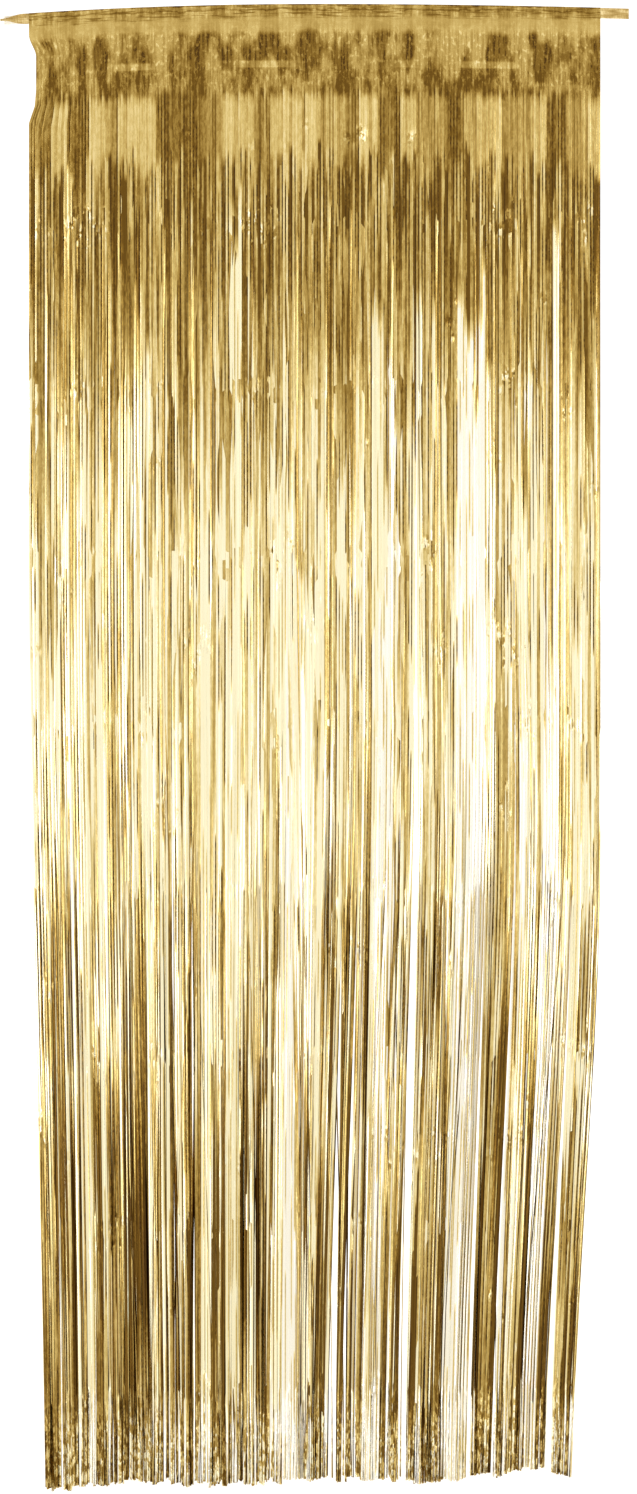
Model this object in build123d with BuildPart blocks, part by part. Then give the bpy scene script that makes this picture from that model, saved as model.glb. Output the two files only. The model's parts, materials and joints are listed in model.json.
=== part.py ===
from build123d import *
import os
from math import acos, atan2, cos, degrees, pi, sin

os.makedirs("parts", exist_ok=True)

# A metallic foil fringe curtain for a doorway, in millimetres.
# X runs across the curtain, Z points up and the face towards the room looks along -Y.
# The origin is the centre of the adhesive's back face, which sticks to the lintel at Y = 0.
# Everything hangs on the room side of that face.

# Uncut band of the film, from the tape's top edge down to the line where the slits start
FILM_WIDTH = 922.0
FILM_THICKNESS = 0.8
HEADER_DEPTH = 105.0

# Tape along the top edge, longer than the film, so that a tab stands out at each end
TAB_LENGTH = 46.0
TAPE_HEIGHT = 17.0
TAPE_THICKNESS = 0.6

# Double-sided foam adhesive behind the tape, set back a little from its ends and edges
ADHESIVE_THICKNESS = 3.0
ADHESIVE_END_MARGIN = 6.0
ADHESIVE_EDGE_MARGIN = 1.5

# Fringe below the slit line: locks of strips that hang side by side, in two layers
STRIP_LENGTH = 2295.0
LOCK_COUNT = 20
LAYER_GAP = 0.3
HINGE_CLEARANCE = 0.3
SLIT_GAP = 0.8
WALL_CLEARANCE = 1.4

# The fringe gathers towards its hem, and drifts a little to one side
HEM_GATHER = 76.0
HEM_DRIFT = -11.0
HEM_FILL = 0.8
HEM_FILL_SWING = 0.1
HEM_FILL_STEP = 2.4

# The hem is cut unevenly: it rises to the right, in shallow waves
HEM_SLANT = 16.0
HEM_WAVE_HEIGHT = 9.0
HEM_WAVES = 3

# Sizes and places that follow from the ones above
TAPE_LENGTH = FILM_WIDTH + 2 * TAB_LENGTH
ADHESIVE_LENGTH = TAPE_LENGTH - 2 * ADHESIVE_END_MARGIN
ADHESIVE_HEIGHT = TAPE_HEIGHT - 2 * ADHESIVE_EDGE_MARGIN
FILM_TOP_Z = TAPE_HEIGHT / 2
SLIT_LINE_Z = FILM_TOP_Z - HEADER_DEPTH
FILM_BACK_Y = -(ADHESIVE_THICKNESS + TAPE_THICKNESS)
HINGE_Y = FILM_BACK_Y - FILM_THICKNESS
NOSE_RADIUS = FILM_THICKNESS
HINGE_Z = SLIT_LINE_Z - HINGE_CLEARANCE - NOSE_RADIUS
LOCK_DROP = STRIP_LENGTH - HINGE_CLEARANCE - NOSE_RADIUS
LAYER_FULLNESS = -HINGE_Y - WALL_CLEARANCE
SLIT_PITCH = FILM_WIDTH / LOCK_COUNT
HEM_PITCH = (FILM_WIDTH - HEM_GATHER) / LOCK_COUNT


def hem_rise(share):
    """Height of the hem above its lowest point, at a share of the way across."""
    wave = (1 - cos(2 * pi * HEM_WAVES * share)) / 2
    return HEM_SLANT * share + HEM_WAVE_HEIGHT * wave


def build_band(length, height, thickness, back_y, top_z):
    """A flat band across the curtain, whose back face is at back_y and whose top edge is at top_z."""
    with BuildPart() as band:
        with BuildSketch(Plane.XZ.offset(-back_y)):
            with Locations((0, top_z - height / 2)):
                Rectangle(length, height)
        extrude(amount=thickness)
    return band


def lock_side_view(side):
    """Sketch plane on the hinge line, looking along the hinge; its x runs out from mid-plane."""
    return Plane(origin=(0, HINGE_Y, HINGE_Z), x_dir=(0, side, 0), z_dir=(side, 0, 0))


def build_lock(number, side):
    """One layer of one lock: round at the hinge line, fuller and narrower towards the hem."""
    place = number - (LOCK_COUNT - 1) / 2
    slit_x = place * SLIT_PITCH
    slit_half = (SLIT_PITCH - SLIT_GAP) / 2
    hem_x = place * HEM_PITCH + HEM_DRIFT
    hem_fill = HEM_FILL + HEM_FILL_SWING * sin(number * HEM_FILL_STEP)
    hem_half = hem_fill * HEM_PITCH / 2
    left_drop = LOCK_DROP - hem_rise(number / LOCK_COUNT)
    right_drop = LOCK_DROP - hem_rise((number + 1) / LOCK_COUNT)
    flare = atan2(LAYER_FULLNESS - NOSE_RADIUS, LOCK_DROP)
    nose_start = acos(LAYER_GAP / 2 / NOSE_RADIUS)
    with BuildPart() as lock:
        with BuildSketch(lock_side_view(side)):
            with BuildLine():
                nose = CenterArc((0, 0), NOSE_RADIUS, degrees(nose_start), degrees(flare - nose_start))
                Polyline(
                    nose @ 1,
                    (LAYER_FULLNESS, -LOCK_DROP),
                    (LAYER_GAP / 2, -LOCK_DROP),
                    nose @ 0,
                )
            make_face()
        extrude(amount=FILM_WIDTH, both=True)
        with BuildSketch(Plane.XZ.offset(-HINGE_Y)):
            with BuildLine():
                Polyline(
                    (slit_x - slit_half, HINGE_Z + NOSE_RADIUS),
                    (slit_x + slit_half, HINGE_Z + NOSE_RADIUS),
                    (hem_x + hem_half, HINGE_Z - right_drop),
                    (hem_x - hem_half, HINGE_Z - left_drop),
                    close=True,
                )
            make_face()
        extrude(amount=2 * LAYER_FULLNESS, both=True, mode=Mode.INTERSECT)
    return lock


# Foam adhesive: the face at Y = 0 sticks to the lintel or wall
adhesive_strip = build_band(
    ADHESIVE_LENGTH, ADHESIVE_HEIGHT, ADHESIVE_THICKNESS, 0, ADHESIVE_HEIGHT / 2
)
adhesive_strip.part.label = "adhesive_strip"
export_step(adhesive_strip.part, "parts/adhesive_strip.step")

# Tape: carries both films, and its tabs stand out past them
header_tape = build_band(TAPE_LENGTH, TAPE_HEIGHT, TAPE_THICKNESS, -ADHESIVE_THICKNESS, FILM_TOP_Z)
header_tape.part.label = "header_tape"
export_step(header_tape.part, "parts/header_tape.step")

# Uncut top of the back film, sealed to the tape
back_header_film = build_band(FILM_WIDTH, HEADER_DEPTH, FILM_THICKNESS, FILM_BACK_Y, FILM_TOP_Z)
back_header_film.part.label = "back_header_film"
export_step(back_header_film.part, "parts/back_header_film.step")

# Uncut top of the front film, sealed to the back film
front_header_film = build_band(FILM_WIDTH, HEADER_DEPTH, FILM_THICKNESS, HINGE_Y, FILM_TOP_Z)
front_header_film.part.label = "front_header_film"
export_step(front_header_film.part, "parts/front_header_film.step")

# Fringe: each lock is a front and a back layer that swing together about the slit line
for number in range(LOCK_COUNT):
    for layer_name, side in (("front", -1), ("back", 1)):
        lock = build_lock(number, side)
        node_name = f"{layer_name}_lock_{number + 1:02d}"
        lock.part.label = node_name
        export_step(lock.part, f"parts/{node_name}.step")
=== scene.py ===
import json
from math import cos, degrees, pi, radians, sin
from random import Random

import bmesh
import bpy
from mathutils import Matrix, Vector, noise
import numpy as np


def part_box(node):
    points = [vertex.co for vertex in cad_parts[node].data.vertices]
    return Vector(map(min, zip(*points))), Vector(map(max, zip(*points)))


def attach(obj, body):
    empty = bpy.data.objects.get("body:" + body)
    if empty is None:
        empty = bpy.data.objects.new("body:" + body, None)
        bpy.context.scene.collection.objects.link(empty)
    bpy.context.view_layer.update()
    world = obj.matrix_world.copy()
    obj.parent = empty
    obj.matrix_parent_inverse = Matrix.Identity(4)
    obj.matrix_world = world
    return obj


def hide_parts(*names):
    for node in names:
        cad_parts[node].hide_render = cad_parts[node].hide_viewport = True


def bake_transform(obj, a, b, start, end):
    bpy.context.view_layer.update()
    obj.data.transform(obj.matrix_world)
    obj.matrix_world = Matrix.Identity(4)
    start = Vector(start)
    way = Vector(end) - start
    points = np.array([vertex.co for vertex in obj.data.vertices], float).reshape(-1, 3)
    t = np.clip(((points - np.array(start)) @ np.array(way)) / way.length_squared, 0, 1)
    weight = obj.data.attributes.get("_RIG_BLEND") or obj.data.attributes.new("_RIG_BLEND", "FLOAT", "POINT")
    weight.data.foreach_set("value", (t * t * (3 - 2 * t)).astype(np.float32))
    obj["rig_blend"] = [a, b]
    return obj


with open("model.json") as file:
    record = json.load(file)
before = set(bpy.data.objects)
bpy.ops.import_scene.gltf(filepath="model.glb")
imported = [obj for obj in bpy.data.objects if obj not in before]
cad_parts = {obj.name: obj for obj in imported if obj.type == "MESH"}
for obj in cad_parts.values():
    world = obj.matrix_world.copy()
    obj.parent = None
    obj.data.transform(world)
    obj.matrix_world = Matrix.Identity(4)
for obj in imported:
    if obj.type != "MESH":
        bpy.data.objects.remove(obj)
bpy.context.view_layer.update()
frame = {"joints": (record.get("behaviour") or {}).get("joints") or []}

# A gold foil fringe curtain, in metres, in the frame's own place: the adhesive's back face is at
# Y = 0, the room is towards -Y, and the strips hang down from an uncut band of film.

# ---------------------------------------------------------------- sizes read from the frame

TAPE_LOW, TAPE_HIGH = (Vector(corner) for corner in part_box("header_tape"))
FOAM_LOW, FOAM_HIGH = (Vector(corner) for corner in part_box("adhesive_strip"))
FRONT_FILM_LOW, FRONT_FILM_HIGH = (Vector(corner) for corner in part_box("front_header_film"))
BACK_FILM_LOW, BACK_FILM_HIGH = (Vector(corner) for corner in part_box("back_header_film"))

LOCK_COUNT = len(frame["joints"])
HINGE = Vector(frame["joints"][0]["pos_m"])
FILM_WIDTH = FRONT_FILM_HIGH.x - FRONT_FILM_LOW.x
SLIT_PITCH = FILM_WIDTH / LOCK_COUNT
SLIT_Z = FRONT_FILM_LOW.z
HEADER_DEPTH = FRONT_FILM_HIGH.z - SLIT_Z
LOWEST_Z = min(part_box(f"front_lock_{number + 1:02d}")[0][2] for number in range(LOCK_COUNT))
STRIP_LENGTH = SLIT_Z - LOWEST_Z
FRONT_FILM_Y = (FRONT_FILM_LOW.y + FRONT_FILM_HIGH.y) / 2
BACK_FILM_Y = (BACK_FILM_LOW.y + BACK_FILM_HIGH.y) / 2

# ---------------------------------------------------------------- the curtain's own measures

FOIL_THICKNESS = 0.00008
TAPE_THICKNESS = 0.0002

# The fringe gathers towards its hem and drifts a little to one side
HEM_GATHER = 0.076
HEM_DRIFT = -0.011

# Each layer of a lock is two plies of strips, which bend over this length below the slits
STRIPS_PER_LOCK = 9
PLIES = 2
PLY_SPACING = 0.0003
STRIP_WIDTH = SLIT_PITCH / STRIPS_PER_LOCK
WALL_GAP = 0.0005
BEND_LENGTH = 0.06

# How many strips stray across their neighbours and how far they turn, and how many runs shine pale
# with a painted gloss
STRAY_CHANCE = 0.05
STRAY_TURN = 3.2
PALE_CHANCE = 0.27

# How far down the strips start to close up towards the hem, at the left and the right edge, as
# shares of their length
LEFT_SPREAD = 0.3
RIGHT_SPREAD = 0.55

# How strips turn about their own length: with their panel, and apart at mid-length and lower down
PANEL_TURN = radians(6)
MIDDLE_TURN = radians(8)
LOWER_TURN = radians(24)
LEAST_CURL = 35
MOST_CURL = 66

# How far strips sway sideways, wander in and out, and stand off from their layer
SWAY = 0.0022
WANDER = 0.0006
LOWER_WANDER = 0.001
STAND_OFF = 0.0018

# How unevenly the tufts and the single strips end at the hem
TUFT_RISE = 0.01
TUFT_SLANT = 0.012
STRIP_RISE = 0.004

# Fold rows left by packing: the first lies this far below the slits, the rest at an even pitch
FIRST_FOLD = 0.251
FOLD_PITCH = 0.272
FOLD_HALF = 0.005
FOLD_KINK = 0.0006
FOLD_SCATTER = 0.018

# The tape is stuck on a little crooked: it sinks towards both ends, and its left tab is twisted
LEFT_SAG = 0.015
RIGHT_SAG = 0.006
SAG_FADE = 0.5
TAB_TWIST = radians(84)
TWIST_MARGIN = 0.004

# The uncut film is flat where it is stuck down, and rippled and crimped below
STUCK_DEPTH = 0.012
WIDE_RIPPLE = 0.0018
NARROW_RIPPLE = 0.0006
CRIMP = 0.00015

# The film's left edge is drawn in below the tape and springs back below the slits
PINCH = 0.0115
PINCH_REACH = 0.09
PINCH_START = 0.035
PINCH_FULL = 0.07
PINCH_END = 0.14
PINCH_GONE = 0.18

# From this lock on, the locks fall into loose tufts: from where to where along the hem each lock's
# strips end, as shares of the lock's own width there, and how many of its two layers, from the
# back, instead hang evenly as pale strips, painted with a near-white gloss, that fill the gaps
LOOSE_FROM = 9
LOOSE_TUFTS = (
    ([(0.65, 1.0)], 1),
    ([(0.0, 0.72)], 0),
    ([(0.15, 0.2), (0.42, 1.0)], 0),
    ([(0.0, 0.95)], 1),
    ([(0.1, 0.28), (0.74, 1.0)], 0),
    ([(0.0, 1.0)], 0),
    ([(0.0, 0.1), (0.9, 1.0)], 2),
    ([(0.22, 0.92)], 0),
    ([(0.28, 1.0)], 1),
    ([(0.0, 0.12), (0.55, 1.0)], 1),
    ([(0.3, 1.0)], 0),
)

# The hem arches up between these two tufts near the right edge
ARCH_MIDDLE = 0.355
ARCH_HALF = 0.057
ARCH_RISE = 0.018


def smooth_step(low, high, value):
    """0 below low, 1 above high, and a soft rise between them."""
    share = min(1.0, max(0.0, (value - low) / (high - low)))
    return share * share * (3 - 2 * share)


def mix(first, second, share):
    """A value that lies a share of the way from the first to the second."""
    return first + (second - first) * share


def sag(x):
    """How far the top edge has sunk at x, measured from its highest point in the middle."""
    end_sag = LEFT_SAG if x < 0 else RIGHT_SAG
    return end_sag * (2 * x / FILM_WIDTH) ** 2


def pinch(x, drop):
    """How far the film is drawn in at x, at a drop below the tape's top edge."""
    near = 1 - smooth_step(0, PINCH_REACH, x - FRONT_FILM_LOW.x)
    drawn_in = smooth_step(PINCH_START, PINCH_FULL, drop)
    sprung_back = smooth_step(PINCH_END, PINCH_GONE, drop)
    return PINCH * near * (drawn_in - sprung_back)


def arch(x):
    """How far the hem is raised at x."""
    return ARCH_RISE * max(0, 1 - ((x - ARCH_MIDDLE) / ARCH_HALF) ** 2)


def ripple(x, depth):
    """Shallow waves across the hanging film, nothing where it is stuck down and fuller below."""
    fullness = smooth_step(STUCK_DEPTH, HEADER_DEPTH, depth)
    wide = noise.noise(Vector((x * 12, 0.3, depth * 3)))
    narrow = noise.noise(Vector((x * 55, 4.1, depth * 9)))
    return fullness * (WIDE_RIPPLE * wide + NARROW_RIPPLE * narrow)


# ---------------------------------------------------------------- shader helpers


class Wire:
    """A node's output that takes part in sums: every operator adds a Math node to its tree."""

    def __init__(self, tree, socket):
        self.tree = tree
        self.socket = socket

    def __add__(self, other):
        return self.tree.math("ADD", self, other)

    def __radd__(self, other):
        return self.tree.math("ADD", other, self)

    def __sub__(self, other):
        return self.tree.math("SUBTRACT", self, other)

    def __rsub__(self, other):
        return self.tree.math("SUBTRACT", other, self)

    def __mul__(self, other):
        return self.tree.math("MULTIPLY", self, other)

    def __rmul__(self, other):
        return self.tree.math("MULTIPLY", other, self)


class Tree:
    """A material's or world's nodes, all added by one method."""

    def __init__(self, owner):
        owner.use_nodes = True
        self.nodes = owner.node_tree.nodes
        self.links = owner.node_tree.links
        self.nodes.clear()

    def node(self, kind, settings=None, inputs=None, output=0):
        """Add a node, set its settings, then its sockets, and return one of its outputs."""
        made = self.nodes.new(kind)
        for name, value in (settings or {}).items():
            if name == "stops":
                self.set_stops(made.color_ramp, value)
            else:
                setattr(made, name, value)
        for key, value in (inputs or {}).items():
            if isinstance(value, Wire):
                self.links.new(value.socket, made.inputs[key])
            else:
                made.inputs[key].default_value = value
        return Wire(self, made.outputs[output]) if made.outputs else None

    def math(self, operation, first, second=0.0):
        return self.node("ShaderNodeMath", {"operation": operation}, {0: first, 1: second})

    @staticmethod
    def set_stops(ramp, stops):
        """Give a colour ramp its stops, as pairs of a place and a colour or a grey."""
        while len(ramp.elements) < len(stops):
            ramp.elements.new(0.5)
        for element, (place, tint) in zip(ramp.elements, stops):
            element.position = place
            element.color = (tint, tint, tint, 1) if isinstance(tint, float) else (*tint, 1)

    def object_place(self, scale, shift=(0, 0, 0)):
        """The piece's own coordinates in metres, times scale and then moved by shift."""
        place = self.node("ShaderNodeTexCoord", output="Object")
        return self.node(
            "ShaderNodeMapping", inputs={"Vector": place, "Scale": scale, "Location": shift}
        )

    def clouds(self, place, detail=2.0, roughness=0.5):
        """Soft noise from 0 to 1 at a place."""
        return self.node(
            "ShaderNodeTexNoise",
            inputs={"Vector": place, "Scale": 1.0, "Detail": detail, "Roughness": roughness},
        )

    def ramp(self, value, *stops):
        return self.node("ShaderNodeValToRGB", {"stops": stops}, {0: value})

    def blend(self, share, first, second):
        """Mix two colours."""
        return self.node(
            "ShaderNodeMix",
            {"data_type": "RGBA", "blend_type": "MIX"},
            {0: share, 6: first, 7: second},
            output=2,
        )

    def attribute(self, name):
        return self.node("ShaderNodeAttribute", {"attribute_name": name}, output="Fac")

    def channel(self, colour, name):
        return self.node("ShaderNodeSeparateColor", inputs={0: colour}, output=name)

    def vector(self, x, y, z):
        return self.node("ShaderNodeCombineXYZ", inputs={0: x, 1: y, 2: z})

    def film_place(self, per_over, per_depth, layer):
        """A place on the film, across and down its own length, however it hangs or swings."""
        over = self.attribute("over") * per_over
        depth = self.attribute("depth") * per_depth
        return self.vector(over, layer, depth)

    def crisp(self, value, middle, half):
        """0 below the middle and 1 above it, with a narrow rise."""
        return self.ramp(value, (middle - half, 0.0), (middle + half, 1.0))

    def light_or_dark(self, value, half):
        """-1 where the value is under a half and 1 where it is over, with a narrow rise."""
        return self.crisp(value, 0.5, half) * 2 - 1

    def bump(self, height, strength=1.0, distance=1.0):
        inputs = {"Strength": strength, "Distance": distance, "Height": height}
        return self.node("ShaderNodeBump", inputs=inputs)

    def finish(self, **sockets):
        """Feed a Principled surface and the material's output."""
        surface = self.node("ShaderNodeBsdfPrincipled", inputs=sockets)
        self.node("ShaderNodeOutputMaterial", inputs={"Surface": surface})


# ---------------------------------------------------------------- finishes

# Painted tones of the gold film, from its deepest painted shade, where it mirrors a dark room and
# itself, to its brightest painted gloss
FOIL_REFLECTION_TONES = (
    (0.00, (0.075, 0.038, 0.010)),
    (0.03, (0.150, 0.080, 0.014)),
    (0.14, (0.227, 0.130, 0.024)),
    (0.31, (0.361, 0.233, 0.058)),
    (0.49, (0.521, 0.368, 0.118)),
    (0.64, (0.680, 0.524, 0.208)),
    (0.77, (0.823, 0.676, 0.340)),
    (0.87, (0.939, 0.823, 0.510)),
    (0.96, (0.985, 0.935, 0.700)),
    (1.00, (1.000, 0.990, 0.950)),
)
DARKEST = 0.03
BRIGHTEST = 0.96
# Tones of the same painted shade and gloss, through which the tape's painted sheen runs
DEEP_GOLD = (0.361, 0.235, 0.072)
MID_GOLD = (0.521, 0.371, 0.140)
PALE_GOLD = (0.823, 0.679, 0.370)

# How the fringe looks down its length, as shares of it: painted light and dark bands where the
# creased strips would mirror brighter or darker parts of the room. The columns are the tone, how
# much the tone varies, and how much it follows the flat panels, where 1 is fully, 0.5 is not at
# all and less is the reverse
FRINGE_REFLECTION_ZONES = (
    (0.000, (0.27, 0.30, 0.50)),
    (0.016, (0.25, 0.30, 0.50)),
    (0.021, (0.44, 0.24, 0.95)),
    (0.062, (0.43, 0.24, 0.95)),
    (0.069, (0.38, 0.24, 0.45)),
    (0.110, (0.37, 0.28, 0.42)),
    (0.150, (0.35, 0.32, 0.50)),
    (0.205, (0.48, 0.34, 0.50)),
    (0.255, (0.67, 0.30, 0.50)),
    (0.330, (0.79, 0.26, 0.50)),
    (0.592, (0.80, 0.26, 0.50)),
    (0.600, (0.76, 0.50, 0.50)),
    (0.680, (0.57, 0.58, 0.50)),
    (0.740, (0.41, 0.60, 0.50)),
    (0.800, (0.26, 0.56, 0.50)),
    (0.860, (0.20, 0.50, 0.50)),
    (0.920, (0.24, 0.44, 0.50)),
    (0.960, (0.40, 0.34, 0.50)),
    (1.000, (0.52, 0.28, 0.50)),
)

# The same painted light and shade for the uncut film, as shares of its depth: the tone, which is
# painted shade at the top edge and in a band just below it, how much it is mottled with painted
# reflections, and how much of it shows long level lines of painted shade
HEADER_SHADE_AND_GLOSS_ZONES = (
    (0.00, (0.08, 0.10, 0.9)),
    (0.02, (0.42, 0.20, 0.9)),
    (0.06, (0.40, 0.20, 0.9)),
    (0.08, (0.20, 0.20, 0.9)),
    (0.10, (0.44, 0.20, 0.9)),
    (0.17, (0.42, 0.18, 0.9)),
    (0.22, (0.51, 0.07, 0.1)),
    (0.38, (0.49, 0.12, 0.0)),
    (0.46, (0.30, 0.30, 0.0)),
    (0.84, (0.27, 0.28, 0.0)),
    (1.00, (0.27, 0.28, 0.0)),
)


def film_grain(tree):
    return tree.clouds(tree.film_place(420, 420, 3.0), detail=3, roughness=0.7)


def reflection_mottle(tree):
    """Upright blotches, streaks and flecks of painted reflection, light and dark, that run on from the uncut
    film into the strips.
    """
    grain = film_grain(tree)
    blotches = tree.light_or_dark(tree.clouds(tree.film_place(34, 12, 6.0), detail=5), 0.05)
    streaks = tree.light_or_dark(tree.clouds(tree.film_place(260, 14, 9.0)), 0.06)
    flecks = tree.crisp(tree.clouds(tree.film_place(190, 110, 12.0), detail=2), 0.6, 0.05) - 0.1
    return blotches * 0.65 + streaks * 0.25 + flecks * 0.7 + (grain - 0.5)


class StripFoil(Tree):
    """The strips' finish, read from how far down and across its strip each point lies, and from
    what the strip and its run of neighbours were given when they were drawn."""

    def __init__(self, owner):
        super().__init__(owner)
        self.depth = self.attribute("depth")
        self.across = self.attribute("across")
        self.over = self.attribute("over")
        self.own = self.attribute("own")
        self.panel = self.attribute("panel")
        self.lane = self.over - self.across * (STRIP_WIDTH / 2)
        ragged = self.clouds(self.vector(self.lane * 90, 3.0, self.depth * 2.5)) - 0.5
        self.ragged = ragged + (self.own - 0.5) * 0.12
        loose = self.ramp(self.depth, (0.04, 0.15), (0.13, 1.0))
        self.down = (self.depth + self.ragged * loose * 0.12) * (1 / STRIP_LENGTH)
        self.at_slits = self.ramp(self.down, (0.010, 1.0), (0.020, 0.0))
        self.at_top = self.ramp(self.down, (0.10, 1.0), (0.24, 0.0))
        self.streaks = self.clouds(self.film_place(330, 5, 12.0))
        self.mottles = self.clouds(self.film_place(170, 60, 15.0), detail=3, roughness=0.7)
        self.cells = self.clouds(self.film_place(115, 62, 18.0), detail=2, roughness=0.6)
        zone = self.ramp(self.down, *FRINGE_REFLECTION_ZONES)
        self.zone_tone = self.channel(zone, "Red")
        self.zone_spread = self.channel(zone, "Green")
        self.on_panel = (self.channel(zone, "Blue") - 0.5) * 2

    def lanes(self):
        """Light and dark strips, painted as the reflections of strips turned this way and that: in patches
        above, one by one below those, then in runs.
        """
        patch = self.vector(self.lane * 170, 6.0, self.depth * 1.5 + self.own * 0.5)
        above = self.light_or_dark(self.clouds(patch, detail=3), 0.04)
        above = above * self.at_top * (1 - self.on_panel * 0.8)
        alone = self.clouds(self.vector(self.own * 97, 5.0, self.depth * 1.4), detail=1)
        run = self.attribute("shade") * 97
        shared = self.clouds(self.vector(run, 0.0, self.depth * 1.2), detail=1)
        in_runs = self.ramp(self.down, (0.56, 0.0), (0.70, 1.0))
        below = self.light_or_dark(alone + (shared - alone) * in_runs, 0.05) * 0.8
        below = below + (self.own - 0.5) * 0.7
        return above + below * (1 - self.at_top)

    def crumple(self):
        """How much the film is creased: here and there along the packing folds, and at the hem."""
        drift = (self.clouds(self.film_place(9, 2, 30.0)) - 0.5) * 0.2
        from_fold = self.depth + self.ragged * 0.1 + drift - FIRST_FOLD
        fold = self.math("PINGPONG", from_fold, FOLD_PITCH / 4)
        somewhere = self.crisp(self.clouds(self.film_place(14, 6, 21.0), detail=2), 0.60, 0.04)
        at_fold = self.ramp(fold * 20, (0.1, 1.0), (0.32, 0.0)) * somewhere
        at_hem = self.ramp(self.down, (0.935, 0.0), (0.970, 1.0))
        return at_fold * 1.1 + at_hem

    def reflection_tone(self, crumple):
        """The painted reflections of strips that aren't pale, with painted glints, streaks and mottles, and
        painted shade and glints in the creases.
        """
        swing = self.on_panel * (self.panel * 2 - 1)
        swing = swing + self.lanes() * (1 - self.at_slits) + reflection_mottle(self) * self.at_slits
        tone = self.zone_tone + self.zone_spread * swing
        dull = 1.15 - tone
        half_lane = self.math("SNAP", self.over, STRIP_WIDTH / 2)
        glint_place = self.vector(half_lane * 260, 9.0, self.depth * 1.8 + self.own * 2)
        glints = self.crisp(self.clouds(glint_place, detail=3), 0.54, 0.02)
        loose_end = self.ramp(self.down, (0.60, 0.0), (0.78, 0.65))
        loud = (1 - self.on_panel * 0.7) * (1 - self.at_slits) * (1 - loose_end)
        tone = tone + (glints * 0.36 - 0.1) * dull * loud
        tone = tone + (self.crisp(self.streaks, 0.5, 0.06) - 0.5) * 0.08
        tone = tone + (self.crisp(self.mottles, 0.5, 0.05) - 0.5) * 0.16 * dull
        # Painted shade and glints of the crazed film where it is creased
        tone = tone + (self.crisp(self.cells, 0.5, 0.04) - 0.45) * crumple * 0.6
        return self.math("MINIMUM", self.math("MAXIMUM", tone, DARKEST), BRIGHTEST)

    def pale_gloss(self):
        """Where a pale strip shines with a painted highlight, from some way down it, and the tone it has
        there.
        """
        pale = self.attribute("pale")
        early = self.math("PINGPONG", pale, 1.0)
        shines = self.crisp(pale, 0.1, 0.02) * self.crisp(self.down + early * 0.4, 0.5, 0.012)
        gloss = self.ramp(pale * 0.5, (0.50, 0.95), (0.55, 1.0)) + (self.streaks - 0.5) * 0.1
        return shines, gloss + self.ramp(self.down, (0.93, 0.0), (0.975, 0.08))

    def shaded_side(self, shines):
        """How dark a strip's one side is, painted shade of its curl and of the slit beside it, which sets it
        off from the next in broken lines.
        """
        line = self.clouds(self.vector(self.own * 97, 2.0, self.depth * 4), detail=1)
        line = line + self.at_top * 0.06 + self.ramp(self.down, (0.58, 0.0), (0.60, 0.07))
        side = self.crisp(self.across, 0.22, 0.05) * self.crisp(line, 0.55, 0.02)
        side = side * (1 - self.at_slits) * (1 - self.on_panel * self.panel * 0.95)
        side = side * (1 - shines * 0.6)
        dots = self.clouds(self.film_place(90, 210, 24.0), detail=1)
        return side * (0.8 + self.crisp(dots, 0.5, 0.1) * 0.2)

    def relief(self, crumple):
        """The film's height: curled across each strip, and crazed where it is creased."""
        curl = (1 - self.across * self.across) * 0.0002
        return curl + self.cells * (crumple * 0.0015 + 0.00004) + self.mottles * 0.0001


def strip_foil():
    """Bright metallised film, cut in strips, its colour painted with the reflections, highlights and shade
    of the creased strips.
    """
    material = bpy.data.materials.new("strip_foil")
    film = StripFoil(material)
    crumple = film.crumple()
    tone = film.reflection_tone(crumple)
    shines, gloss = film.pale_gloss()
    # Painted highlight: the pale strips' gloss
    tone = tone + (gloss - tone) * shines
    # Painted shade along one side of each strip
    tone = tone * (1 - film.shaded_side(shines))
    film.finish(
        **{
            "Base Color": film.ramp(tone, *FOIL_REFLECTION_TONES),
            "Metallic": 1.0,
            "Roughness": 0.16 + film.mottles * 0.14,
            "Normal": film.bump(film.relief(crumple)),
        }
    )
    return material


def header_foil():
    """The same film before it is slit: smooth under the tape, creased and mottled below it, its colour
    painted with the shade and reflections of the creased film.
    """
    material = bpy.data.materials.new("header_foil")
    tree = Tree(material)
    ragged = tree.clouds(tree.film_place(30, 20, 18.0), detail=4, roughness=0.6) - 0.5
    from_tape = tree.attribute("depth") + HEADER_DEPTH
    share = from_tape * (1 / HEADER_DEPTH)
    down = (from_tape + ragged * 0.022) * (1 / HEADER_DEPTH)
    zone = tree.ramp(down, *HEADER_SHADE_AND_GLOSS_ZONES)
    spread = tree.channel(zone, "Green")
    flecks = tree.clouds(tree.film_place(190, 110, 12.0), detail=2)
    marks = tree.clouds(tree.film_place(24, 380, 15.0), detail=2)
    # Long dark dotted lines near the top of the film: painted shade
    level_shade = tree.channel(zone, "Blue") * tree.crisp(1 - marks, 0.56, 0.04)
    # A lighter band in patches just above the slits: painted gloss of the flat sealed film
    seal_gloss = tree.ramp(share, (0.85, 0.0), (0.88, 1.0), (0.96, 1.0), (0.98, 0.0))
    seal_gloss = seal_gloss * tree.crisp(tree.clouds(tree.film_place(6, 0, 33.0), detail=1), 0.52, 0.02)
    tone = tree.channel(zone, "Red") + spread * reflection_mottle(tree) + seal_gloss * 0.22
    tone = tone * (1 - level_shade * 0.7)
    colour = tree.ramp(tone, *FOIL_REFLECTION_TONES)
    relief = flecks * (spread * 0.0022 + 0.0001) + film_grain(tree) * 0.0001
    tree.finish(
        **{
            "Base Color": colour,
            "Metallic": 1.0,
            "Roughness": 0.2 + flecks * 0.2,
            "Normal": tree.bump(relief),
        }
    )
    return material


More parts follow.
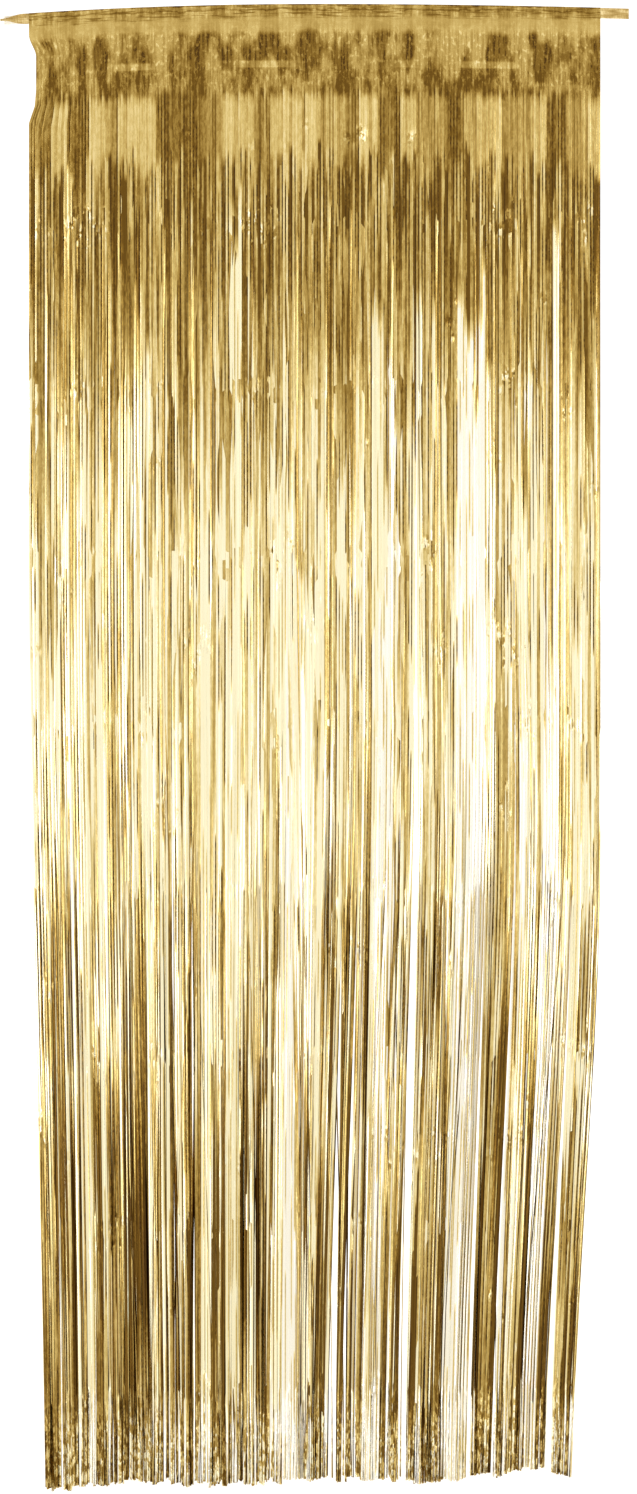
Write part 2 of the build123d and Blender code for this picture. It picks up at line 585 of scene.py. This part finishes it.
def tape_film():
    """Satin gold tape with fine cross crimps, its colour a painted sheen: mottled, and paler on the crimps'
    crests.
    """
    material = bpy.data.materials.new("tape_film")
    tree = Tree(material)
    crimps = tree.clouds(tree.object_place((700, 60, 120)), detail=2)
    sheen_mottle = tree.clouds(tree.object_place((40, 40, 160), (1, 4, 2)), detail=3)
    # Painted sheen: deep to pale gold in patches, paler where the crimps rise
    gold = tree.ramp(sheen_mottle * 0.7 + crimps * 0.3, (0.35, DEEP_GOLD), (0.5, MID_GOLD), (0.65, PALE_GOLD))
    tree.finish(
        **{
            "Base Color": gold,
            "Metallic": 0.85,
            "Roughness": 0.3 + sheen_mottle * 0.2,
            "Normal": tree.bump(crimps, strength=0.4, distance=0.0006),
        }
    )
    return material


def foam():
    """Off-white mounting foam with fine open cells."""
    material = bpy.data.materials.new("foam")
    tree = Tree(material)
    cells = tree.clouds(tree.object_place((1500, 1500, 1500)), detail=2)
    # Darker where the cells sink: painted shade in the pits
    colour = tree.ramp(cells, (0.3, (0.66, 0.62, 0.54)), (0.6, (0.86, 0.83, 0.76)))
    pits = tree.bump(cells, strength=0.5, distance=0.0004)
    tree.finish(**{"Base Color": colour, "Roughness": 0.85, "Normal": pits})
    return material


def floor_paint():
    """Plain white studio floor."""
    material = bpy.data.materials.new("floor_paint")
    tree = Tree(material)
    white = (0.95, 0.95, 0.95, 1)
    tree.finish(
        **{"Base Color": white, "Roughness": 0.9, "Emission Color": white, "Emission Strength": 0.2}
    )
    return material


# ---------------------------------------------------------------- pieces


def make_piece(name, mesh_maker, material):
    """Turn a bmesh into a named piece at the origin, with its finish."""
    mesh = bpy.data.meshes.new(name)
    mesh_maker.normal_update()
    mesh_maker.to_mesh(mesh)
    mesh_maker.free()
    mesh.shade_smooth()
    mesh.materials.append(material)
    piece = bpy.data.objects.new(name, mesh)
    bpy.context.scene.collection.objects.link(piece)
    return piece


def thicken(piece, thickness):
    """Give a film its thickness, half to each side."""
    shell = piece.modifiers.new("thickness", "SOLIDIFY")
    shell.thickness = thickness
    shell.offset = 0


def sharpen_edges(mesh_maker):
    """Keep the cut edges crisp once the film has its thickness."""
    for edge in mesh_maker.edges:
        if edge.is_boundary:
            edge.smooth = False


def sheet_grid(columns, rows):
    """A grid one unit wide and one unit high about its middle, to be shaped into a film."""
    maker = bmesh.new()
    bmesh.ops.create_grid(maker, x_segments=columns, y_segments=rows, size=0.5)
    return maker


def header_film(name, film_y, node, material, seed):
    """One uncut film: flat where it is stuck to the tape, rippled and drawn in below it."""
    maker = sheet_grid(230, 30)
    depths = maker.verts.layers.float.new("depth")
    overs = maker.verts.layers.float.new("over")
    for vertex in maker.verts:
        across = vertex.co.x + 0.5
        down = 0.5 - vertex.co.y
        x = FRONT_FILM_LOW.x + across * FILM_WIDTH
        depth = down * HEADER_DEPTH
        crimp = CRIMP * noise.noise(Vector((x * 260, seed, depth * 60)))
        z = FRONT_FILM_HIGH.z - depth - sag(x)
        vertex[depths] = depth - HEADER_DEPTH
        vertex[overs] = x
        vertex.co = Vector((x + pinch(x, depth), film_y - ripple(x, depth) + crimp, z))
    sharpen_edges(maker)
    piece = make_piece(name, maker, material)
    thicken(piece, FOIL_THICKNESS)
    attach(piece, "header")
    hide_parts(node)


def top_tape(material):
    """The tape, bowed along its length; its left tab is twisted to a point."""
    maker = sheet_grid(240, 4)
    length = TAPE_HIGH.x - TAPE_LOW.x
    height = TAPE_HIGH.z - TAPE_LOW.z
    middle_y = (TAPE_LOW.y + TAPE_HIGH.y) / 2
    for vertex in maker.verts:
        x = TAPE_LOW.x + (vertex.co.x + 0.5) * length
        rise = vertex.co.y * height
        past_film = smooth_step(FRONT_FILM_LOW.x + TWIST_MARGIN, TAPE_LOW.x + TWIST_MARGIN, x)
        turn = past_film * TAB_TWIST
        out = (rise + height / 2) * sin(turn) / 2
        vertex.co = Vector((x, middle_y - out, rise * cos(turn) - sag(x)))
    sharpen_edges(maker)
    piece = make_piece("top_tape", maker, material)
    thicken(piece, TAPE_THICKNESS)
    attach(piece, "header")
    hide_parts("header_tape")


def foam_strip(material):
    """The foam adhesive, bent along the tape's line."""
    maker = sheet_grid(120, 2)
    length = FOAM_HIGH.x - FOAM_LOW.x
    height = FOAM_HIGH.z - FOAM_LOW.z
    for vertex in maker.verts:
        x = FOAM_LOW.x + (vertex.co.x + 0.5) * length
        rise = vertex.co.y * height
        vertex.co = Vector((x, FOAM_HIGH.y, rise - sag(x)))
    walls = bmesh.ops.extrude_face_region(maker, geom=maker.faces[:])
    front = [item for item in walls["geom"] if isinstance(item, bmesh.types.BMVert)]
    bmesh.ops.translate(maker, verts=front, vec=(0, FOAM_LOW.y - FOAM_HIGH.y, 0))
    bmesh.ops.recalc_face_normals(maker, faces=maker.faces[:])
    for edge in maker.edges:
        if edge.calc_face_angle(0) > radians(40):
            edge.smooth = False
    piece = make_piece("foam_strip", maker, material)
    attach(piece, "header")
    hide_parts("adhesive_strip")


# ---------------------------------------------------------------- fringe


def fold_rows():
    """Depths below the slits of the packing folds."""
    count = int((STRIP_LENGTH - FIRST_FOLD) / FOLD_PITCH) + 1
    return [FIRST_FOLD + FOLD_PITCH * row for row in range(count)]


def ring_depths():
    """Depths where a strip has a ring: close at the top, at each fold row, and at the hem."""
    depths = [0.0, 0.02, 0.045, 0.08, 0.15]
    for fold in FOLD_ROWS:
        depths += [fold - FOLD_HALF, fold + FOLD_HALF, fold + FOLD_PITCH / 2]
    return [depth for depth in depths if depth < STRIP_LENGTH - 0.03] + [STRIP_LENGTH]


def fold_panels():
    """Flat panels between the film's upright creases: where each ends, and how light it lies, which sets its
    painted reflection and a little of its turn.
    """
    draw = Random(7)
    panels = []
    end = FRONT_FILM_LOW.x
    while end < FRONT_FILM_HIGH.x:
        end += draw.uniform(0.006, 0.04)
        panels.append((end, draw.choice((0.0, 0.3, 0.6, 0.9, 1.0, 1.0))))
    return panels


FOLD_ROWS = fold_rows()
RINGS = ring_depths()
PANELS = fold_panels()
HEM_LEFT = HEM_DRIFT - (FILM_WIDTH - HEM_GATHER) / 2 + STRIP_WIDTH
HEM_RIGHT = HEM_DRIFT + (FILM_WIDTH - HEM_GATHER) / 2 - STRIP_WIDTH


def draw_run(draw):
    """What a run of neighbouring strips shares: how it turns, how it shines in painted reflections and
    painted gloss, how it stands off.
    """
    return {
        "size": draw.choice((1, 2, 2, 3, 3, 4, 5)),
        "turn": draw.gauss(0, 1),
        "shade": draw.random(),
        "phase": draw.uniform(0, 100),
        "out": draw.uniform(-1, 1),
        "pale": draw.uniform(0.15, 1) if draw.random() < PALE_CHANCE else 0.0,
    }


class Strip:
    """One foil strip: where it starts, where it ends, and how it turns on the way down."""

    def __init__(self, draw, run, curl, gather_from, slit_x, spread_x, hem_x, end_z, layer_y):
        self.run = run
        self.curl = curl
        self.gather_from = gather_from
        self.slit_x = slit_x
        self.spread_x = spread_x
        self.spread_from = mix(LEFT_SPREAD, RIGHT_SPREAD, slit_x / FILM_WIDTH + 0.5)
        self.hem_x = hem_x
        self.end_z = end_z
        self.layer_y = layer_y
        self.panel = next(light for end, light in PANELS if slit_x <= end)
        self.own = draw.random()
        self.stand_off = run["out"] + draw.uniform(-0.4, 0.4)
        self.jitter = draw.gauss(0, 1)
        self.fold_shift = draw.gauss(0, FOLD_SCATTER)
        self.kink = draw.choice((-1, 1)) * draw.uniform(0.2, 1.0)
        self.phase = draw.uniform(0, 100)

    def depth_of(self, ring):
        """A ring's depth, with the fold rows a little out of line from strip to strip."""
        depth = RINGS[ring]
        free = smooth_step(0, 0.2, depth) * (1 - smooth_step(0.9, 1, depth / STRIP_LENGTH))
        return depth + self.fold_shift * free

    def turn_at(self, depth):
        """Twist about the strip's own length: shared by neighbours at the top, freer below."""
        down = depth / STRIP_LENGTH
        loose = smooth_step(0.03, 0.2, down)
        together = PANEL_TURN * (self.panel - 0.5)
        wave = noise.noise(Vector((self.run["phase"], depth * 1.1, 1.9)))
        own = noise.noise(Vector((self.phase, depth * 2.0, 5.1)))
        reach = mix(MIDDLE_TURN, LOWER_TURN, smooth_step(0.5, 0.62, down))
        apart = reach * (0.8 * self.run["turn"] + 0.8 * wave + 0.25 * own + 0.12 * self.jitter)
        turn = mix(together + radians(0.8) * self.jitter, apart, loose)
        turn = mix(turn, self.curl, smooth_step(0.965, 1.0, down))
        return turn * smooth_step(0, 0.05, depth)

    def centre_at(self, depth):
        """The middle of the strip at a depth below the slits."""
        down = depth / STRIP_LENGTH
        free = smooth_step(0.04, 0.25, depth)
        x = mix(self.slit_x, self.spread_x, smooth_step(self.spread_from, 1.05, down))
        x += (self.hem_x - self.spread_x) * smooth_step(self.gather_from, 1.0, down)
        x += pinch(self.slit_x, HEADER_DEPTH + depth)
        x += SWAY * free * down * noise.noise(Vector((self.run["phase"], depth * 1.7, 3.3)))
        wander = noise.noise(Vector((self.phase, depth * 2.6, 8.8)))
        shared = noise.noise(Vector((self.run["phase"], depth * 2.1, 6.1)))
        y = self.layer_y + free * (WANDER + LOWER_WANDER * down) * (wander + shared)
        y -= ripple(self.slit_x, HEADER_DEPTH) * (1 - smooth_step(0, 0.3, depth))
        y += self.stand_off * STAND_OFF * smooth_step(0.05, 1, down)
        z = SLIT_Z - sag(self.slit_x) * (1 - smooth_step(0, SAG_FADE, depth))
        z -= down * (SLIT_Z - self.end_z)
        return Vector((x, y, z))

    def add_to(self, maker, number, count):
        """Add the strip to a mesh, with what its finish reads and its place on the bake map."""
        layers = maker.verts.layers.float
        unwrap = maker.loops.layers.uv["OFBake"]
        rows = len(RINGS) - 1
        made = bmesh.ops.create_grid(maker, x_segments=1, y_segments=rows, size=0.5)["verts"]
        places = {}
        for vertex in made:
            side = vertex.co.x
            ring = round((0.5 - vertex.co.y) * rows)
            places[vertex] = ((number + 0.5 + side * 0.9) / count, 1 - RINGS[ring] / STRIP_LENGTH)
            depth = self.depth_of(ring)
            turn = self.turn_at(depth)
            arm = side * STRIP_WIDTH
            place = self.centre_at(depth) + Vector((arm * cos(turn), arm * sin(turn), 0))
            place.y += self.kink * FOLD_KINK * (ring % 3 == 0) * smooth_step(0.1, 0.2, depth)
            place.y = min(place.y, -WALL_GAP)
            vertex.co = place
            vertex[layers["depth"]] = RINGS[ring]
            vertex[layers["over"]] = self.slit_x + arm
            vertex[layers["across"]] = 2 * side
            vertex[layers["shade"]] = self.run["shade"]
            vertex[layers["panel"]] = self.panel
            vertex[layers["own"]] = self.own
            vertex[layers["pale"]] = self.run["pale"]
        for face in {face for vertex in made for face in vertex.link_faces}:
            for loop in face.loops:
                loop[unwrap].uv = places[loop.vert]


class Lock:
    """A lock of strips that falls into a few tufts towards the hem."""

    def __init__(self, number):
        self.number = number
        self.draw = Random(100 + number)
        self.pitch = (FILM_WIDTH - HEM_GATHER) / LOCK_COUNT
        self.hem_left = (number - LOCK_COUNT / 2) * self.pitch + HEM_DRIFT
        self.end_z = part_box(f"front_lock_{number + 1:02d}")[0][2]
        if number < LOOSE_FROM:
            self.tufts, self.fills = self.draw_tufts(), 0
        else:
            self.tufts, self.fills = LOOSE_TUFTS[number - LOOSE_FROM]
        self.gather_from = self.draw.uniform(0.15, 0.6)
        self.rises = [self.draw.uniform(0, TUFT_RISE) for _ in self.tufts]
        self.slants = [self.draw.uniform(-TUFT_SLANT, TUFT_SLANT) for _ in self.tufts]
        lanes = range(STRIPS_PER_LOCK)
        self.curls = [self.draw_curl() for _ in lanes]
        self.pulls = [self.draw.gauss(0, 0.025) for _ in lanes]

    def draw_curl(self):
        """How far a strip curls to one side or the other at the hem."""
        return self.draw.choice((-1, 1)) * radians(self.draw.uniform(LEAST_CURL, MOST_CURL))

    def draw_tufts(self):
        """Two to four tufts along the lock's hem, with slim gaps between them."""
        count = self.draw.choice((2, 3, 3, 4))
        tufts = []
        for tuft in range(count):
            gap = self.draw.uniform(0.0, 0.12)
            tufts.append(((tuft + gap) / count, (tuft + 1 - gap) / count))
        return tufts

    def tuft_place(self, share):
        """Where a strip that starts at a share of the slits ends along the hem, and how high."""
        tuft = min(int(share * len(self.tufts)), len(self.tufts) - 1)
        within = share * len(self.tufts) - tuft
        low, high = self.tufts[tuft]
        rise = self.rises[tuft] + self.slants[tuft] * (within - 0.5)
        return self.hem_left + mix(low, high, within) * self.pitch, max(0, rise)

    def ply_strips(self, layer_y, shift, fills):
        """Hang one ply's strips, a run of neighbours at a time; a ply that fills hangs evenly."""
        place = 0
        while place < STRIPS_PER_LOCK:
            run = draw_run(self.draw)
            if fills:
                # A filling ply's strips get the brightest painted gloss
                run["pale"] = self.draw.uniform(1.1, 1.4)
            size = min(run["size"], STRIPS_PER_LOCK - place)
            for lane in range(place, place + size):
                share = (lane + 0.5) / STRIPS_PER_LOCK
                slit_x = FRONT_FILM_LOW.x + (self.number + share) * SLIT_PITCH
                spread_x = self.hem_left + share * self.pitch + shift
                curl = self.curls[lane]
                hem_x, rise = self.tuft_place(min(0.99, max(0.0, share + self.pulls[lane])))
                hem_x = spread_x if fills else hem_x + shift
                strip_run = run
                if self.draw.random() < STRAY_CHANCE:
                    hem_x = self.hem_left + self.draw.uniform(-0.4, 1.4) * self.pitch
                    hem_x = max(HEM_LEFT, min(HEM_RIGHT, hem_x))
                    strip_run = run | {"turn": STRAY_TURN, "pale": 0.0}
                end_z = self.end_z + rise + arch(hem_x) + self.draw.uniform(0, STRIP_RISE)
                ends = (slit_x, spread_x, hem_x, end_z)
                yield Strip(self.draw, strip_run, curl, self.gather_from, *ends, layer_y)
            place += size

    def hang(self, layer_name, film_y, material):
        """Make one layer's strips, ply on ply, as a single piece that bends at the slits."""
        maker = bmesh.new()
        for name in ("depth", "over", "across", "shade", "panel", "own", "pale"):
            maker.verts.layers.float.new(name)
        maker.loops.layers.uv.new("OFBake")
        count = PLIES * STRIPS_PER_LOCK
        is_back = layer_name == "back"
        for ply in range(PLIES):
            layer_y = film_y + (ply - (PLIES - 1) / 2) * PLY_SPACING
            shift = ((ply + PLIES * is_back + 0.5) / (2 * PLIES) - 0.5) * STRIP_WIDTH
            fills = self.fills > (0 if is_back else 1)
            for place, strip in enumerate(self.ply_strips(layer_y, shift, fills)):
                strip.add_to(maker, ply * STRIPS_PER_LOCK + place, count)
        sharpen_edges(maker)
        tag = f"{self.number + 1:02d}"
        piece = make_piece(f"{layer_name}_strips_{tag}", maker, material)
        thicken(piece, FOIL_THICKNESS)
        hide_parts(f"{layer_name}_lock_{tag}")
        bend = Vector((FRONT_FILM_LOW.x + (self.number + 0.5) * SLIT_PITCH, HINGE.y, SLIT_Z))
        bend_end = bend - Vector((0, 0, BEND_LENGTH))
        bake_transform(piece, "header", f"lock_{tag}", start=bend, end=bend_end)


# ---------------------------------------------------------------- studio

CAMERA_DISTANCE = 5.2
CAMERA_LENS = 77.6
CAMERA_PLACE = Vector((0.0062, -CAMERA_DISTANCE, -1.1903))
FLOOR_GAP = 0.012
FLOOR_HALF = 30
SOFT_BOX_TURN = 34
SOFT_BOX_LIFT = 2
SOFT_BOX_DISTANCE = 4.5
SOFT_BOX_SIZE = (0.5, 3.4)
SOFT_BOX_WATTS = 16
BAND_REACH = 60


def hang_camera():
    """A long lens in front of the curtain, level with its middle."""
    data = bpy.data.cameras.new("camera")
    data.lens = CAMERA_LENS
    data.clip_end = 100
    camera = bpy.data.objects.new("camera", data)
    camera.location = CAMERA_PLACE
    camera.rotation_euler = (pi / 2, 0, 0)
    bpy.context.scene.collection.objects.link(camera)
    bpy.context.scene.camera = camera


def lay_floor():
    """A wide floor just below the hem, which the shiny film doesn't mirror."""
    maker = bmesh.new()
    bmesh.ops.create_grid(maker, x_segments=1, y_segments=1, size=FLOOR_HALF)
    bmesh.ops.translate(maker, verts=maker.verts[:], vec=(0, 0, LOWEST_Z - FLOOR_GAP))
    mesh = bpy.data.meshes.new("floor")
    maker.to_mesh(mesh)
    maker.free()
    mesh.materials.append(floor_paint())
    floor = bpy.data.objects.new("floor", mesh)
    bpy.context.scene.collection.objects.link(floor)
    floor.visible_glossy = False


def soft_box(name, azimuth):
    """A tall soft light that faces the middle of the curtain and doesn't show itself."""
    data = bpy.data.lights.new(name, "AREA")
    data.shape = "RECTANGLE"
    data.size, data.size_y = SOFT_BOX_SIZE
    data.energy = SOFT_BOX_WATTS
    light = bpy.data.objects.new(name, data)
    turn, lift = radians(azimuth), radians(SOFT_BOX_LIFT)
    away = Vector((sin(turn) * cos(lift), -cos(turn) * cos(lift), sin(lift)))
    middle = Vector((0, 0, (TAPE_HIGH.z + LOWEST_Z) / 2))
    light.location = middle + away * SOFT_BOX_DISTANCE
    light.rotation_euler = away.to_track_quat("Z", "Y").to_euler()
    light.visible_camera = False
    bpy.context.scene.collection.objects.link(light)


def light_studio():
    """White where it is seen; what it lights and what mirrors it gets soft bands of light."""
    world = bpy.data.worlds.new("studio")
    bpy.context.scene.world = world
    tree = Tree(world)
    heading = tree.node("ShaderNodeTexCoord", output="Generated")
    up = tree.node("ShaderNodeSeparateXYZ", inputs={0: heading}, output="Z")
    lift = tree.math("ARCSINE", up)
    bands = tree.ramp(
        lift * (degrees(1) / BAND_REACH) + 0.5,
        (0.20, (1.05, 0.98, 0.80)),
        (0.28, (0.96, 0.90, 0.76)),
        (0.44, (0.94, 0.88, 0.74)),
        (0.465, (1.04, 1.02, 0.96)),
        (0.59, (1.08, 1.06, 1.00)),
        (0.64, (0.90, 0.82, 0.62)),
        (0.72, (0.97, 0.88, 0.64)),
        (0.80, (1.10, 1.05, 0.90)),
        (0.90, (1.50, 1.50, 1.50)),
    )
    sideways = tree.node("ShaderNodeSeparateXYZ", inputs={0: heading}, output="X")
    off_axis = tree.math("ABSOLUTE", sideways)
    bright_walls = tree.ramp(off_axis, (0.30, 0.0), (0.40, 1.0), (0.62, 1.0), (0.72, 0.0))
    dark_walls = tree.ramp(off_axis, (0.68, 0.0), (0.80, 1.0))
    room = tree.blend(bright_walls * 0.8, bands, (1.25, 1.22, 1.12, 1))
    room = tree.blend(dark_walls * 0.55, room, (0.45, 0.30, 0.11, 1))
    mirrored = tree.node("ShaderNodeBackground", inputs={"Color": room, "Strength": 1.0})
    plain = tree.node("ShaderNodeBackground", inputs={"Color": (1, 1, 1, 1), "Strength": 1.25})
    is_seen = tree.node("ShaderNodeLightPath", output="Is Camera Ray")
    sky = tree.node("ShaderNodeMixShader", inputs={0: is_seen, 1: mirrored, 2: plain})
    tree.node("ShaderNodeOutputWorld", inputs={"Surface": sky})
    for side in (-1, 1):
        for name, middle in (("front", 0), ("back", 180)):
            hand = "left" if side < 0 else "right"
            soft_box(f"{name}_soft_box_{hand}", middle + side * SOFT_BOX_TURN)


def main():
    """Set up the studio, then hang the curtain from its tape down."""
    foil = strip_foil()
    hang_camera()
    lay_floor()
    light_studio()
    uncut = header_foil()
    top_tape(tape_film())
    foam_strip(foam())
    header_film("front_film", FRONT_FILM_Y, "front_header_film", uncut, 1.5)
    header_film("back_film", BACK_FILM_Y, "back_header_film", uncut, 8.5)
    for number in range(LOCK_COUNT):
        lock = Lock(number)
        lock.hang("front", FRONT_FILM_Y, foil)
        lock.hang("back", BACK_FILM_Y, foil)
    bpy.context.scene.view_settings.view_transform = "Standard"


main()
